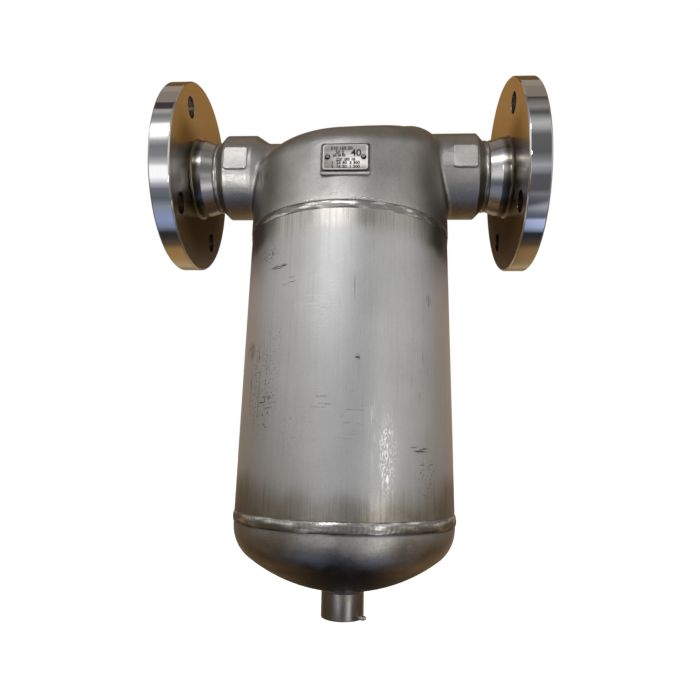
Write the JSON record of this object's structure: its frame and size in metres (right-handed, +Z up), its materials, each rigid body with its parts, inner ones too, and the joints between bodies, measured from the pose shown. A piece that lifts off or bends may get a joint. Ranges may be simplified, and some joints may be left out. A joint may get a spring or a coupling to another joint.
{
  "type": "steam separator",
  "caption": "Cyclone steam separator: a cast head with flanged side ports on a welded steel cylinder with a dished end and a threaded drain socket below.",
  "frame": {"origin": "centre of the inlet flange's sealing face, on the pipe axis", "axes": "+X runs along the pipe from the inlet to the outlet, +Z is up along the vessel, and -Y is the front, where the name plate is"},
  "size_m": [0.31, 0.1703, 0.4351],
  "materials": {
    "cast_stainless": "fine blasted casting, warm grey",
    "turned_stainless": "turned, bright",
    "satin_stainless": "satin, brushed along the vessel",
    "weld_stainless": "rippled weld metal",
    "plain_stainless": "dull, as machined",
    "plate_stainless": "light satin plate"
  },
  "bodies": {
    "root": {"head_casting": "cast_stainless", "inlet_flange": "turned_stainless", "outlet_flange": "turned_stainless", "inlet_flange_weld": "weld_stainless", "outlet_flange_weld": "weld_stainless", "shell_pipe": "satin_stainless", "head_seam_weld": "weld_stainless", "bottom_cap": "satin_stainless", "cap_seam_weld": "weld_stainless", "drain_socket": "plain_stainless", "drain_socket_weld": "weld_stainless", "centre_tube": "plain_stainless", "tube_seat_weld": "weld_stainless", "swirl_vanes": "cast_stainless", "vane_hub_weld": "weld_stainless", "drain_baffle": "plain_stainless", "breaker_plate_lower": "plain_stainless", "breaker_plate_upper": "plain_stainless", "name_plate": "plate_stainless", "name_plate_rivets": "plate_stainless"}
  },
  "joints": []
}
